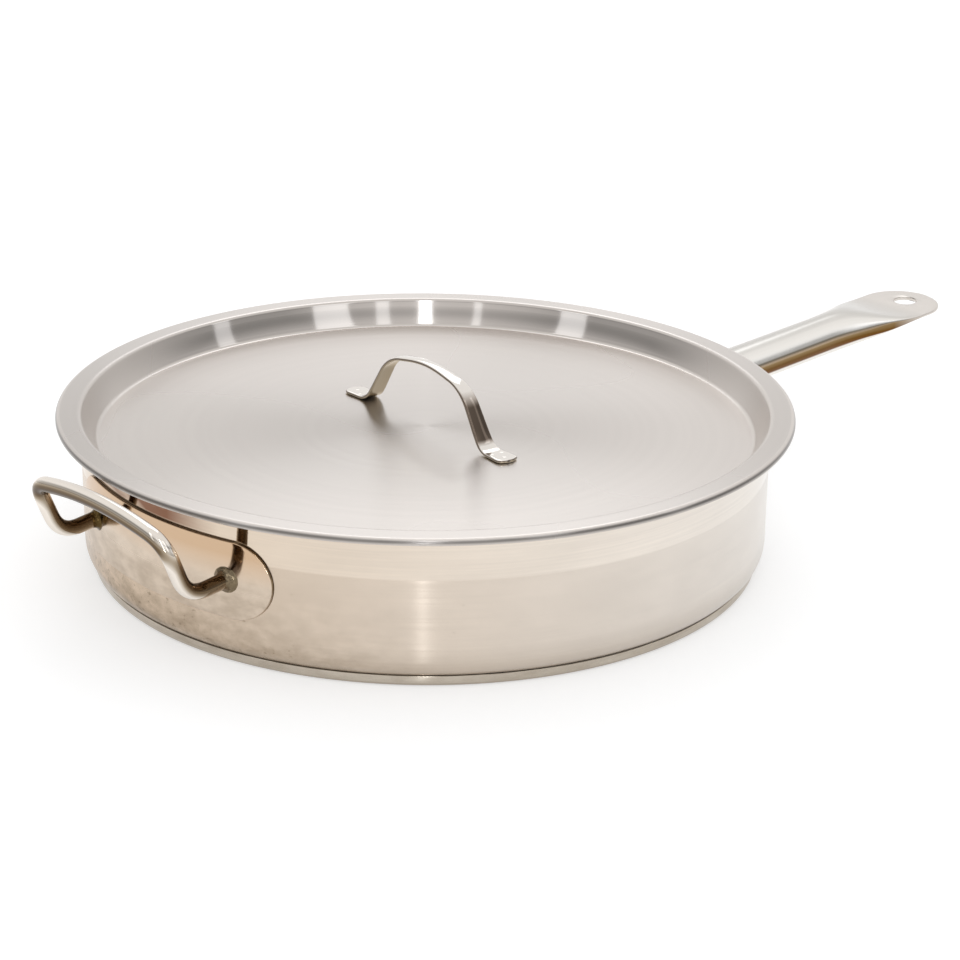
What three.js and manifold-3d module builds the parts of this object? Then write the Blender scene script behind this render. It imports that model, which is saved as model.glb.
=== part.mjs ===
// A wide, low, straight-sided saute pan in stainless steel with its recessed lid.
// Millimetres, +Z up. The origin is on the pan's axis, on the flat underside of the base.
// +X runs out along the long handle, and the helper handle is on the opposite side.
import * as THREE from 'three';
import { mergeVertices } from 'three/addons/utils/BufferGeometryUtils.js';
import Module from 'manifold-3d';

const wasm = await Module();
wasm.setup();

// Pan body: a drawn sheet with a rounded foot and a flared pouring lip
const PAN_RADIUS = 200;
const PAN_HEIGHT = 90;
const SHELL_WALL = 1.2;
const FOOT_RADIUS = 12;
const LIP_RADIUS = 7;

// Heat-spreading base: an aluminium disc held under the floor by a steel cap
const CORE_THICKNESS = 3;
const CAP_WALL = 0.8;
const CAP_INSET = 4.4;
const CAP_EDGE_RADIUS = 3.6;
const CAP_HEIGHT = 6;
const BOND_GAP = 0.3;

// Lid: a flat disc sunk inside the rim, with a flange that rests on the lip
const LID_SHEET = 1;
const LID_RECESS = 16;
const LID_PLUG_GAP = 7.1;
const LID_FLARE = 8.8;
const LID_OVERHANG = 7;
const LID_CORNER_RADIUS = 3;
const LID_EDGE_RADIUS = 1.5;
const LID_EDGE_DROP = 2;
const LID_SEAT_GAP = 0.3;
const LID_TURN = THREE.MathUtils.degToRad(-5);

// Lid strap: a bent flat bar, narrowest at its crown and spot-welded at both feet
const STRAP_LENGTH = 154;
const STRAP_CROWN_WIDTH = 7;
const STRAP_FOOT_WIDTH = 15;
const STRAP_FLARE = 1.4;
const STRAP_SHEET = 1.8;
const STRAP_TIP_RADIUS = 5;
const STRAP_HEEL_SPACING = 111;
const STRAP_HEEL_RADIUS = 12;
const STRAP_SHOULDER_SPACING = 70;
const STRAP_SHOULDER_RISE = 32.5;
const STRAP_SHOULDER_RADIUS = 26;
const STRAP_CROWN_RISE = 38.9;
const STRAP_CROWN_RADIUS = 92;
const STRAP_OFFSET = 1.5;

// Long handle: a slightly oval tube, pressed flat into a tongue with a hanging hole
const TUBE_WIDTH = 32;
const TUBE_HEIGHT = 25.2;
const TUBE_WALL = 1.2;
const HANDLE_LENGTH = 264.6;
const HANDLE_HEIGHT = 48.4;
const HANDLE_RISE = THREE.MathUtils.degToRad(2.6);
const PRESS_START = 148;
const PRESS_END = 232;
const PRESS_SQUARENESS = 0.7;
const TONGUE_WIDTH = 55;
const TONGUE_LIFT = 1.3;
const TONGUE_CORNER_RADIUS = 26;
const HOLE_RADIUS = 7.8;
const HOLE_FROM_TIP = 19;
const VOID_LEAST = 0.5;

// Helper handle: a round bar bent into a raised loop
const ROD_RADIUS = 4.4;
const ROD_FOOT_SPACING = 116;
const ROD_FOOT_HEIGHT = 51;
const ROD_ELBOW_REACH = 25;
const ROD_ELBOW_DROP = 3;
const ROD_ELBOW_BEND = 13;
const ROD_CORNER_SPACING = 117;
const ROD_CORNER_REACH = 39;
const ROD_CORNER_RISE = 31;
const ROD_CORNER_BEND = 13;
const ROD_CROWN_REACH = 40;
const ROD_CROWN_RISE = 41;
const ROD_CROWN_BEND = 45;

// Reinforcing plates between the handles and the wall, and the weld beads on them
const PLATE_SHEET = 1.5;
const HELPER_PLATE_WIDTH = 168;
const HELPER_PLATE_HEIGHT = 44;
const LONG_PLATE_WIDTH = 100;
const LONG_PLATE_HEIGHT = 50;
const WELD_GAP = 0.3;
const ROD_WELD_SIZE = 3;
const TUBE_WELD_SIZE = 4;

// Facets: steps round a full turn of the pan, in a bend, and round and along the bars
const ROUND_STEPS = 72;
const BEND_STEP = THREE.MathUtils.degToRad(32);
const STRAP_BEND_STEP = THREE.MathUtils.degToRad(9);
const TUBE_SIDES = 20;
const ROD_SIDES = 12;
const ROD_LENGTH_STEPS = 48;
const PRESS_STEPS = 21;
const PLATE_END_STEPS = 8;
const STRAP_PLAN_STEPS = 12;
const VERTEX_MERGE = 1e-4;

// Levels that more than one piece shares
const floorUnderside = CAP_WALL + BOND_GAP + CORE_THICKNESS + BOND_GAP;
const wallInside = PAN_RADIUS - SHELL_WALL;
const plateInside = PAN_RADIUS + WELD_GAP;
const plateOutside = plateInside + PLATE_SHEET;
const handleSeat = plateOutside + WELD_GAP;
const capRadius = PAN_RADIUS - CAP_INSET;
const rodDrop = Math.atan2(ROD_ELBOW_DROP, ROD_ELBOW_REACH);

const brushedSteel = { color: 0xcbc4ba, roughness: 0.38, metalness: 1 };
const polishedSteel = { color: 0xd8d0c6, roughness: 0.12, metalness: 1 };
const bareAluminium = { color: 0xb9babb, roughness: 0.5, metalness: 1 };
const tintedSteel = { color: 0x8a6f4e, roughness: 0.35, metalness: 1 };

/** Points along straight runs between [x, y, bend radius] corners, each bend drawn as an arc. */
function bentLine(corners, step = BEND_STEP) {
  const points = corners.map(([x, y]) => new THREE.Vector2(x, y));
  return corners.flatMap(([, , radius], i) => {
    if (!radius) {
      return [points[i]];
    }
    const into = points[i].clone().sub(points[i - 1]).normalize();
    const away = points[i + 1].clone().sub(points[i]).normalize();
    const side = Math.sign(into.cross(away));
    const turn = Math.acos(into.dot(away));
    const reach = radius * Math.tan(turn / 2);
    const start = points[i].clone().addScaledVector(into, -reach);
    const end = points[i].clone().addScaledVector(away, reach);
    const centre = new THREE.Vector2(-into.y, into.x).multiplyScalar(side * radius).add(start);
    const startAngle = start.sub(centre).angle();
    const endAngle = end.sub(centre).angle();
    const arc = new THREE.EllipseCurve(
      centre.x, centre.y, radius, radius, startAngle, endAngle, side < 0,
    );
    return arc.getPoints(Math.ceil(turn / step));
  });
}

/** The closed outline of a sheet: a line of points, and the same line moved to its left by the wall. */
function sheetOutline(near, wall) {
  const far = near.map((point, i) => {
    const before = near[Math.max(i - 1, 0)];
    const after = near[Math.min(i + 1, near.length - 1)];
    const along = after.clone().sub(before).normalize();
    return new THREE.Vector2(point.x - along.y * wall, point.y + along.x * wall);
  });
  return [...near, ...far.reverse()];
}

/** A profile of (radius, height) points turned about the Z axis. */
function turned(profile) {
  return new THREE.LatheGeometry(profile, ROUND_STEPS).rotateX(Math.PI / 2);
}

/** How far from the pan's middle a handle's seat is, at a distance to the side of the X axis. */
function seatAt(side) {
  return Math.sqrt(handleSeat ** 2 - side ** 2);
}

/** A plain round bar about the Z axis, from the table up, used to cut handles to the wall. */
function wallCutter(radius) {
  const profile = [[0, 0], [radius, 0], [radius, PAN_HEIGHT], [0, PAN_HEIGHT]];
  return turned(profile.map(([x, y]) => new THREE.Vector2(x, y)));
}

/** The solid of a closed geometry, ready to join or cut. */
function toSolid(geometry) {
  const bare = geometry.clone();
  bare.deleteAttribute('normal');
  bare.deleteAttribute('uv');
  const merged = mergeVertices(bare, VERTEX_MERGE);
  const corners = [];
  for (let i = 0; i < merged.index.count; i += 3) {
    const [a, b, c] = [0, 1, 2].map((k) => merged.index.getX(i + k));
    if (a !== b && b !== c && c !== a) {
      corners.push(a, b, c);
    }
  }
  const vertProperties = new Float32Array(merged.attributes.position.array);
  const mesh = new wasm.Mesh({ numProp: 3, vertProperties, triVerts: new Uint32Array(corners) });
  return new wasm.Manifold(mesh);
}

/** The geometry of a solid. */
function toGeometry(solid) {
  const { vertProperties, triVerts } = solid.getMesh();
  const geometry = new THREE.BufferGeometry();
  geometry.setAttribute('position', new THREE.BufferAttribute(vertProperties, 3));
  geometry.setIndex(new THREE.BufferAttribute(triVerts, 1));
  geometry.computeVertexNormals();
  return geometry;
}

/** A named piece in its own finish. */
function piece(name, geometry, finish) {
  const mesh = new THREE.Mesh(geometry, new THREE.MeshStandardMaterial(finish));
  mesh.name = name;
  return mesh;
}

/** A rectangle with rounded corners, centred on the origin. */
function roundedRectangle(length, width, radius) {
  const x = length / 2 - radius;
  const y = width / 2 - radius;
  const quarter = Math.PI / 2;
  const shape = new THREE.Shape();
  shape.absarc(x, y, radius, 0, quarter);
  shape.absarc(-x, y, radius, quarter, 2 * quarter);
  shape.absarc(-x, -y, radius, 2 * quarter, 3 * quarter);
  shape.absarc(x, -y, radius, 3 * quarter, 4 * quarter);
  return shape;
}

function panShell() {
  const bendRise = PAN_HEIGHT - SHELL_WALL;
  const outside = bentLine([
    [0, floorUnderside],
    [PAN_RADIUS, floorUnderside, FOOT_RADIUS],
    [PAN_RADIUS, bendRise, LIP_RADIUS],
    [PAN_RADIUS + LIP_RADIUS + SHELL_WALL, bendRise],
  ]);
  return piece('pan_shell', turned(sheetOutline(outside, SHELL_WALL)), brushedSteel);
}

function baseCap() {
  const outside = bentLine([
    [0, 0],
    [capRadius, 0, CAP_EDGE_RADIUS],
    [capRadius, CAP_HEIGHT],
  ]);
  return piece('base_cap', turned(sheetOutline(outside, CAP_WALL)), polishedSteel);
}

function baseCore() {
  const bottom = CAP_WALL + BOND_GAP;
  const radius = capRadius - CAP_WALL - BOND_GAP;
  const outline = bentLine([
    [0, bottom],
    [radius, bottom, CAP_EDGE_RADIUS - CAP_WALL - BOND_GAP],
    [radius, bottom + CORE_THICKNESS],
    [0, bottom + CORE_THICKNESS],
  ]);
  return piece('base_core', turned(outline), bareAluminium);
}

/** The lid's sheet, measured from the underside of its flange. */
function lidDisc() {
  const flatRadius = wallInside - LID_PLUG_GAP;
  const rimRadius = PAN_RADIUS + LIP_RADIUS + LID_OVERHANG;
  const edgeRadius = rimRadius - LID_SHEET;
  const underside = bentLine([
    [0, -LID_RECESS],
    [flatRadius, -LID_RECESS, LID_CORNER_RADIUS + LID_SHEET],
    [flatRadius + LID_FLARE, 0, LID_CORNER_RADIUS - LID_SHEET],
    [edgeRadius, 0, LID_EDGE_RADIUS],
    [edgeRadius, -LID_EDGE_DROP],
  ]);
  return piece('lid_disc', turned(sheetOutline(underside, LID_SHEET)), brushedSteel);
}

/** The strap's outline from above along X: waisted, with rounded corners at its tips. */
function strapPlan() {
  const half = STRAP_LENGTH / 2;
  const upper = [];
  for (let i = -STRAP_PLAN_STEPS; i <= STRAP_PLAN_STEPS; i += 1) {
    const share = Math.sin((Math.PI / 2) * (i / STRAP_PLAN_STEPS));
    const widening = Math.abs(share) ** STRAP_FLARE;
    const width = THREE.MathUtils.lerp(STRAP_CROWN_WIDTH, STRAP_FOOT_WIDTH, widening);
    const past = Math.max(Math.abs(share) * half - half + STRAP_TIP_RADIUS, 0);
    const corner = STRAP_TIP_RADIUS - Math.sqrt(Math.max(STRAP_TIP_RADIUS ** 2 - past ** 2, 0));
    upper.push(new THREE.Vector2(share * half, width / 2 - corner));
  }
  const lower = upper.map(({ x, y }) => new THREE.Vector2(x, -y)).reverse();
  return new THREE.Shape([...lower, ...upper]);
}

/** The lid's strap along Y, standing on the lid's flat face at z = 0. */
function lidStrap() {
  const half = [
    [-STRAP_LENGTH / 2, WELD_GAP],
    [-STRAP_HEEL_SPACING / 2, WELD_GAP, STRAP_HEEL_RADIUS],
    [-STRAP_SHOULDER_SPACING / 2, STRAP_SHOULDER_RISE, STRAP_SHOULDER_RADIUS],
  ];
  const mirrored = half.map(([x, ...rest]) => [-x, ...rest]).reverse();
  const crown = [0, STRAP_CROWN_RISE, STRAP_CROWN_RADIUS];
  const underside = bentLine([...half, crown, ...mirrored], STRAP_BEND_STEP);
  const side = new THREE.Shape(sheetOutline(underside, STRAP_SHEET));
  const bar = new THREE.ExtrudeGeometry(side, { depth: STRAP_FOOT_WIDTH, bevelEnabled: false });
  bar.translate(0, 0, -STRAP_FOOT_WIDTH / 2).rotateX(Math.PI / 2);
  const height = STRAP_CROWN_RISE + STRAP_SHEET;
  const outline = new THREE.ExtrudeGeometry(strapPlan(), { depth: height, bevelEnabled: false });
  const strap = toGeometry(toSolid(bar).intersect(toSolid(outline))).rotateZ(Math.PI / 2);
  return piece('lid_strap', strap, polishedSteel);
}

/** How far the tube is pressed flat at a distance along the handle: 0 oval, 1 flat. */
function pressAt(distance) {
  const share = (distance - PRESS_START) / (PRESS_END - PRESS_START);
  return (1 - Math.cos(Math.PI * THREE.MathUtils.clamp(share, 0, 1))) / 2;
}

/** Where along the handle a bore of the given height has been pressed to a lesser one. */
function distanceAtHeight(bore, height) {
  const press = Math.acos(height / bore) / (Math.PI / 2);
  return PRESS_START + (Math.acos(1 - 2 * press) / Math.PI) * (PRESS_END - PRESS_START);
}

/** The handle's bar along X, moved in by an inset, its oval section pressed to a flat height. */
function pressedBar(inset, flatHeight, start, end) {
  const round = new THREE.Shape().absarc(0, 0, 1, 0, 2 * Math.PI);
  const bar = new THREE.ExtrudeGeometry(round, {
    depth: end - start,
    steps: PRESS_STEPS,
    curveSegments: TUBE_SIDES / 2,
    bevelEnabled: false,
  });
  bar.rotateZ(Math.PI / 2).rotateY(Math.PI / 2).translate(start, 0, 0);
  const place = bar.attributes.position;
  for (let i = 0; i < place.count; i += 1) {
    const press = pressAt(place.getX(i));
    const stand = Math.cos((Math.PI / 2) * press);
    const width = THREE.MathUtils.lerp(TUBE_WIDTH, TONGUE_WIDTH, press) - 2 * inset;
    const height = THREE.MathUtils.lerp(flatHeight, TUBE_HEIGHT - 2 * inset, stand);
    const rise = place.getZ(i);
    const square = Math.sign(rise) * Math.abs(rise) ** (1 - PRESS_SQUARENESS * press ** 3);
    place.setY(i, (place.getY(i) * width) / 2);
    place.setZ(i, (square * height) / 2 + TONGUE_LIFT * press);
  }
  return bar;
}

/** The outline of the handle from above: straight sides and a tip with rounded corners. */
function handlePlan(start) {
  const half = TONGUE_WIDTH / 2;
  const side = half - TONGUE_CORNER_RADIUS;
  const tip = HANDLE_LENGTH - TONGUE_CORNER_RADIUS;
  const plan = new THREE.Shape();
  plan.moveTo(start, half);
  plan.lineTo(start, -half);
  plan.absarc(tip, -side, TONGUE_CORNER_RADIUS, -Math.PI / 2, 0);
  plan.absarc(tip, side, TONGUE_CORNER_RADIUS, 0, Math.PI / 2);
  return plan;
}

function longHandle() {
  const start = -TUBE_HEIGHT;
  const tube = pressedBar(0, 2 * TUBE_WALL, start, HANDLE_LENGTH);
  const voidEnd = distanceAtHeight(TUBE_HEIGHT / 2 - TUBE_WALL, VOID_LEAST);
  const hollow = pressedBar(TUBE_WALL, 0, start - 1, voidEnd);
  const upright = { depth: TUBE_WIDTH, bevelEnabled: false, curveSegments: PLATE_END_STEPS };
  const plan = new THREE.ExtrudeGeometry(handlePlan(start), upright);
  plan.translate(0, 0, -TUBE_WIDTH / 2);
  const round = new THREE.Shape().absarc(0, 0, HOLE_RADIUS, 0, 2 * Math.PI);
  const hole = new THREE.ExtrudeGeometry(round, upright);
  hole.translate(HANDLE_LENGTH - HOLE_FROM_TIP, 0, -TUBE_WIDTH / 2);
  const handle = toSolid(tube).intersect(toSolid(plan)).subtract(toSolid(hollow)).subtract(toSolid(hole));
  const placed = toGeometry(handle).rotateY(-HANDLE_RISE).translate(handleSeat, 0, HANDLE_HEIGHT);
  const fitted = toSolid(placed).subtract(toSolid(wallCutter(handleSeat)));
  return piece('long_handle', toGeometry(fitted), polishedSteel);
}

/** A plate with round ends, lying on the pan's wall on its +X side. */
function wallPlate(width, height, level) {
  const ring = [
    [plateInside, 0],
    [plateOutside, 0],
    [plateOutside, PAN_HEIGHT],
    [plateInside, PAN_HEIGHT],
    [plateInside, 0],
  ];
  const band = turned(ring.map(([x, y]) => new THREE.Vector2(x, y)));
  const outline = roundedRectangle(width, height, height / 2);
  const prism = new THREE.ExtrudeGeometry(outline, {
    depth: plateOutside + PLATE_SHEET,
    bevelEnabled: false,
    curveSegments: PLATE_END_STEPS,
  });
  prism.rotateZ(Math.PI / 2).rotateY(Math.PI / 2).translate(0, 0, level);
  return toGeometry(toSolid(band).intersect(toSolid(prism)));
}

/** A tapered weld bead round a bar that meets the wall plate along X, rising or dropping outwards. */
function weldBead(barRadius, size, side, level, rise, widening = 1) {
  const inner = barRadius + WELD_GAP;
  const outer = inner + size;
  const buried = -barRadius - size;
  const profile = [[inner, buried], [outer, buried], [outer, size], [inner, 2 * size], [inner, buried]];
  const cone = profile.map(([x, y]) => new THREE.Vector2(x, y));
  const bead = new THREE.LatheGeometry(cone, TUBE_SIDES).rotateZ(-Math.PI / 2);
  bead.scale(1, widening, 1).rotateY(-rise).translate(seatAt(side), side, level);
  return toGeometry(toSolid(bead).subtract(toSolid(wallCutter(handleSeat))));
}

/** A path along straight runs, each inner corner rounded from a set distance before and after it. */
function bentRun(corners) {
  const run = new THREE.CurvePath();
  let from = corners[0].at;
  for (let i = 1; i < corners.length - 1; i += 1) {
    const { at, bend } = corners[i];
    const before = at.clone().add(corners[i - 1].at.clone().sub(at).setLength(bend));
    const after = at.clone().add(corners[i + 1].at.clone().sub(at).setLength(bend));
    run.add(new THREE.LineCurve3(from, before));
    run.add(new THREE.QuadraticBezierCurve3(before, at, after));
    from = after;
  }
  run.add(new THREE.LineCurve3(from, corners.at(-1).at));
  return run;
}

function helperHandle() {
  const foot = seatAt(ROD_FOOT_SPACING / 2);
  const buried = 2 * ROD_RADIUS;
  const buriedRise = buried * Math.tan(rodDrop);
  const half = [
    { x: foot - buried, y: ROD_FOOT_SPACING / 2, z: buriedRise, bend: 0 },
    { x: foot + ROD_ELBOW_REACH, y: ROD_FOOT_SPACING / 2, z: -ROD_ELBOW_DROP, bend: ROD_ELBOW_BEND },
    { x: foot + ROD_CORNER_REACH, y: ROD_CORNER_SPACING / 2, z: ROD_CORNER_RISE, bend: ROD_CORNER_BEND },
  ];
  const crown = { x: foot + ROD_CROWN_REACH, y: 0, z: ROD_CROWN_RISE, bend: ROD_CROWN_BEND };
  const mirrored = half.map((corner) => ({ ...corner, y: -corner.y })).reverse();
  const corners = [...half, crown, ...mirrored].map(({ x, y, z, bend }) => ({
    at: new THREE.Vector3(x, y, z + ROD_FOOT_HEIGHT),
    bend,
  }));
  const round = new THREE.Shape().absarc(0, 0, ROD_RADIUS, 0, 2 * Math.PI);
  const rod = new THREE.ExtrudeGeometry(round, {
    steps: ROD_LENGTH_STEPS,
    curveSegments: ROD_SIDES / 2,
    extrudePath: bentRun(corners),
  });
  const fitted = toSolid(rod).subtract(toSolid(wallCutter(handleSeat)));
  return piece('helper_handle', toGeometry(fitted), polishedSteel);
}

const longPlate = wallPlate(LONG_PLATE_WIDTH, LONG_PLATE_HEIGHT, HANDLE_HEIGHT);
const widening = (TUBE_WIDTH / 2 + WELD_GAP) / (TUBE_HEIGHT / 2 + WELD_GAP);
const longWeld = weldBead(TUBE_HEIGHT / 2, TUBE_WELD_SIZE, 0, HANDLE_HEIGHT, HANDLE_RISE, widening);
const longSide = new THREE.Group();
longSide.add(
  longHandle(),
  piece('long_handle_plate', longPlate, polishedSteel),
  piece('long_handle_weld', longWeld, tintedSteel),
);

const helperPlate = wallPlate(HELPER_PLATE_WIDTH, HELPER_PLATE_HEIGHT, ROD_FOOT_HEIGHT);
const helperSide = new THREE.Group();
helperSide.rotation.z = Math.PI;
helperSide.add(helperHandle(), piece('helper_plate', helperPlate, polishedSteel));
for (const [name, side] of [['helper_weld_left', 1], ['helper_weld_right', -1]]) {
  const foot = (side * ROD_FOOT_SPACING) / 2;
  const bead = weldBead(ROD_RADIUS, ROD_WELD_SIZE, foot, ROD_FOOT_HEIGHT, -rodDrop);
  helperSide.add(piece(name, bead, tintedSteel));
}

const lid = new THREE.Group();
lid.position.z = PAN_HEIGHT + LID_SEAT_GAP;
lid.rotation.z = LID_TURN;
const strap = lidStrap();
strap.position.set(STRAP_OFFSET, 0, LID_SHEET - LID_RECESS);
lid.add(lidDisc(), strap);

const pan = new THREE.Group();
pan.add(panShell(), baseCore(), baseCap(), longSide, helperSide, lid);

export default pan;
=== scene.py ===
"""A stainless steel saute pan and its lid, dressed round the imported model.

Lengths are in metres, angles in radians and colours are sRGB hex values. Each piece takes its place
and its main sizes from the frame, and each one is made by an operator of its own.
"""

import math

import bmesh
import bpy
from bpy.props import FloatProperty, IntProperty, PointerProperty, StringProperty
from bpy.types import Operator, Panel, PropertyGroup
from mathutils import Euler, Matrix, Vector


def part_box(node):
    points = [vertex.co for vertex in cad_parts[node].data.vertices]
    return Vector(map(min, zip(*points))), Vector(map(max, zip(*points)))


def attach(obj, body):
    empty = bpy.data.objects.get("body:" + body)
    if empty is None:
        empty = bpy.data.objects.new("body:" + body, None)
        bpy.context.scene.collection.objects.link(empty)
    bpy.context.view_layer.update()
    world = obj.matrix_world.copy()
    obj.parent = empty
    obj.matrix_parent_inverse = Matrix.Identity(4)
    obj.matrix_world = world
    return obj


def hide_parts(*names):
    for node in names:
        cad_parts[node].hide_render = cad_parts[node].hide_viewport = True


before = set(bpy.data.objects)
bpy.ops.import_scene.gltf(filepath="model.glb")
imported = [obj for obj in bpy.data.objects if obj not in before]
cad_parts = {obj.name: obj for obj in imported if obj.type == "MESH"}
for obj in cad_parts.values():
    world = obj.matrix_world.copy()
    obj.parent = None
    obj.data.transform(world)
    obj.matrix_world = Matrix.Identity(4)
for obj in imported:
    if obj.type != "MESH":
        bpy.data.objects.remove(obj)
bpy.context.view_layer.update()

bl_info = {
    "name": "Saute Pan",
    "version": (1, 0, 0),
    "blender": (4, 5, 0),
    "location": "3D View > Sidebar > Saute Pan",
    "description": "Makes a stainless steel saute pan with a recessed lid round its packed model",
    "category": "Add Mesh",
}

UP = Vector((0, 0, 1))
SHELL_LOW, SHELL_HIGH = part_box("pan_shell")
CAP_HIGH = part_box("base_cap")[1]
LID_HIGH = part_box("lid_disc")[1]
TONGUE_LOW, TONGUE_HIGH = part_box("long_handle")
HELPER_LOW, HELPER_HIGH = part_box("helper_plate")
LONG_PLATE_LOW, LONG_PLATE_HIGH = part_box("long_handle_plate")
WELD_GAP = 0.0003
PLATE_SHEET = 0.0015
WALL_RADIUS = -HELPER_LOW.x - PLATE_SHEET - WELD_GAP
HANDLE_SEAT = WALL_RADIUS + PLATE_SHEET + 2 * WELD_GAP
HELPER_LEVEL = (HELPER_LOW.z + HELPER_HIGH.z) / 2
LONG_LEVEL = (LONG_PLATE_LOW.z + LONG_PLATE_HIGH.z) / 2

# The strap: how late it widens, the radius of its ends, and how high it has its full camber.
STRAP_FLARE = 1.4
STRAP_TIP = 0.005
CAMBER_RISE = 0.01
# Spot welds on each of the strap's feet, as distances along and across it.
SPOT_WELDS = ((0.0645, 0.0035), (0.0645, -0.0035), (0.0715, 0))
SPOT_WELD_RADIUS = 0.0013
SPOT_WELD_FLATNESS = 0.1
# The pressed tongue's section is squarer than an oval by this much.
TONGUE_SQUARENESS = 2.5
# A weld's hollow curve, the depth of its ripples, how far it sinks into the plate, and how far its
# root reaches into the bar, as a share of the bar's half height.
FILLET_CURVE = 1.6
RIPPLE_DEPTH = 0.03
WELD_SUNK = 0.0008
WELD_ROOT = 0.1

# What a noise texture gives, but for its rare ends.
NOISE = (0.3, 0.7)
# The quarter turn that sets highlights across the brushing.
ACROSS_BRUSHING = 0.25
# Level ways over the pan: from the heated side to the clean one, and out through its heated front.
ASIDE = (0.73, -0.68, 0)
ONWARD = (-0.68, -0.73, 0)
# Least and most roughness of buffed steel, and of the long handle's tube.
BRIGHT_HAZE = (0.05, 0.13)
TUBE_HAZE = (0.2, 0.26)

# Painted reflections, highlights and shade on the handles and the strap, as colours by how far each face
# points along a way, from -1 to 1.
TUBE_WAY = (0, 0, 1)
# The tube's brown underside and pale bottom are painted reflections, its bright band a painted highlight and
# its darker top a painted shade.
TUBE_PAINTED_REFLECTIONS = (
    (-0.52, "#ECE7E0"),
    (-0.42, "#6E4412"),
    (-0.15, "#6A491A"),
    (0.1, "#8A724E"),
    (0.24, "#B8A48C"),
    (0.36, "#857C6E"),
    (0.44, "#D8D4CE"),
    (0.52, "#FFFCF7"),
    (0.62, "#FFFCF7"),
    (0.76, "#F4F0EA"),
    (0.9, "#EAE6E0"),
    (1, "#C6C2BC"),
)
# Distances along X where the tube's painted reflections start to fade and where they are gone.
TUBE_END = (0.405, 0.435)
# The bar is painted dark on its legs' inner sides and under its grip, a painted shade and reflection. The
# grip starts between these heights.
BAR_WAY = (0.62, -0.42, 0.66)
GRIP_WAY = (-0.49, 0, -0.87)
GRIP_START = (HELPER_LEVEL + 0.014, HELPER_LEVEL + 0.028)
BAR_PAINTED_REFLECTIONS = (
    (-1, "#D8CFC6"),
    (-0.7, "#E6DED4"),
    (-0.25, "#F0E8DE"),
    (0, "#CFC5B8"),
    (0.2, "#A2937F"),
    (0.45, "#6E5D48"),
    (0.75, "#503F2B"),
    (1, "#483724"),
)
# The strap's dark legs and light faces are painted reflections and shade.
STRAP_WAY = (0, 0, 1)
STRAP_PAINTED_REFLECTIONS = (
    (-0.3, "#CFC3AC"),
    (0.1, "#C9BFB2"),
    (0.25, "#6A5E54"),
    (0.55, "#75675B"),
    (0.66, "#B4A99F"),
    (0.8, "#E6E0D9"),
)

# The dome's brightness at heights from 0 to 1, behind the pan, behind the camera and to both sides.
# The last two go by the height up an axis that leans away from the camera, with a dark band half way.
FAR_SIDE = ((0, 1), (0.4, 0.97), (1, 0.95))
NEAR_SIDE = ((0, 0.85), (0.3, 0.88), (0.36, 0.8), (0.41, 0.55), (0.46, 0.55), (0.53, 0.9), (1, 1))
FLANKS = (
    (0, 0.6), (0.25, 0.62), (0.33, 0.52), (0.41, 0.32), (0.46, 0.32), (0.54, 0.62), (0.62, 0.78), (1, 0.95),
)
BAND_TILT = 0.25
NEAR_TILT = 0.8
# Where the far side gives way to the near one, and the flanks to what is behind the camera.
NEAR_EDGE = (-0.92, -0.5)
FLANK_EDGE = (0.5, 0.8)
# Each soft box: degrees to the right of the camera, width, lowest and highest angle, lean and brightness.
SOFT_BOXES = (
    (85, 6, 10, 50, 25, 0.6),
    (40, 11.5, 14, 60, 11, 0.75),
    (19, 4.2, 14, 60, 6, 0.6),
    (2, 3.5, 14, 60, 0, 4),
    (0.4, 0.8, 1, 13, 0, 36),
    (-19, 2.5, 14, 60, -6, 0.6),
    (-58, 9, 14, 55, -18, 0.75),
    (180, 30, 28, 62, 0, 1),
)
SOFT_BOX_DISTANCE = 3
FLOOR_LIFT = 0.5
CAMERA_AIM = Vector((0.02315, -0.02174, 0.04173))


def length(name, description, default):
    """A length that a user can set."""
    return FloatProperty(name=name, description=description, default=default, unit="LENGTH", precision=4)


def angle(name, description, degrees):
    """An angle that a user can set."""
    return FloatProperty(name=name, description=description, default=math.radians(degrees), subtype="ANGLE")


def colour(name, description, default):
    """An sRGB colour that a user can set, written as a hex value."""
    return StringProperty(name=name, description=description, default=default)


class SAUTE_PG_body(PropertyGroup):
    """Sizes of the drawn pan and its capped base."""

    radius: length("Wall radius", "Outside radius of the straight wall", WALL_RADIUS)
    floor: length("Floor level", "Height of the floor's underside", SHELL_LOW.z)
    height: length("Height", "Height of the lip's top face", SHELL_HIGH.z)
    wall: length("Wall", "Thickness of the pan's sheet", 0.0012)
    foot_radius: length("Foot radius", "Outside radius of the bend at the foot", 0.012)
    lip_radius: length("Lip radius", "Outside radius of the bend under the lip", 0.007)
    cap_radius: length("Cap radius", "Outside radius of the base cap", CAP_HIGH.x)
    cap_height: length("Cap height", "Height of the base cap's edge", CAP_HIGH.z)
    cap_edge: length("Cap edge", "Radius of the bend round the base cap", 0.0036)
    cap_wall: length("Cap wall", "Thickness of the base cap's sheet", 0.0008)
    steps: IntProperty(name="Steps", description="Faces round a turned piece", default=288, min=48)


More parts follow.
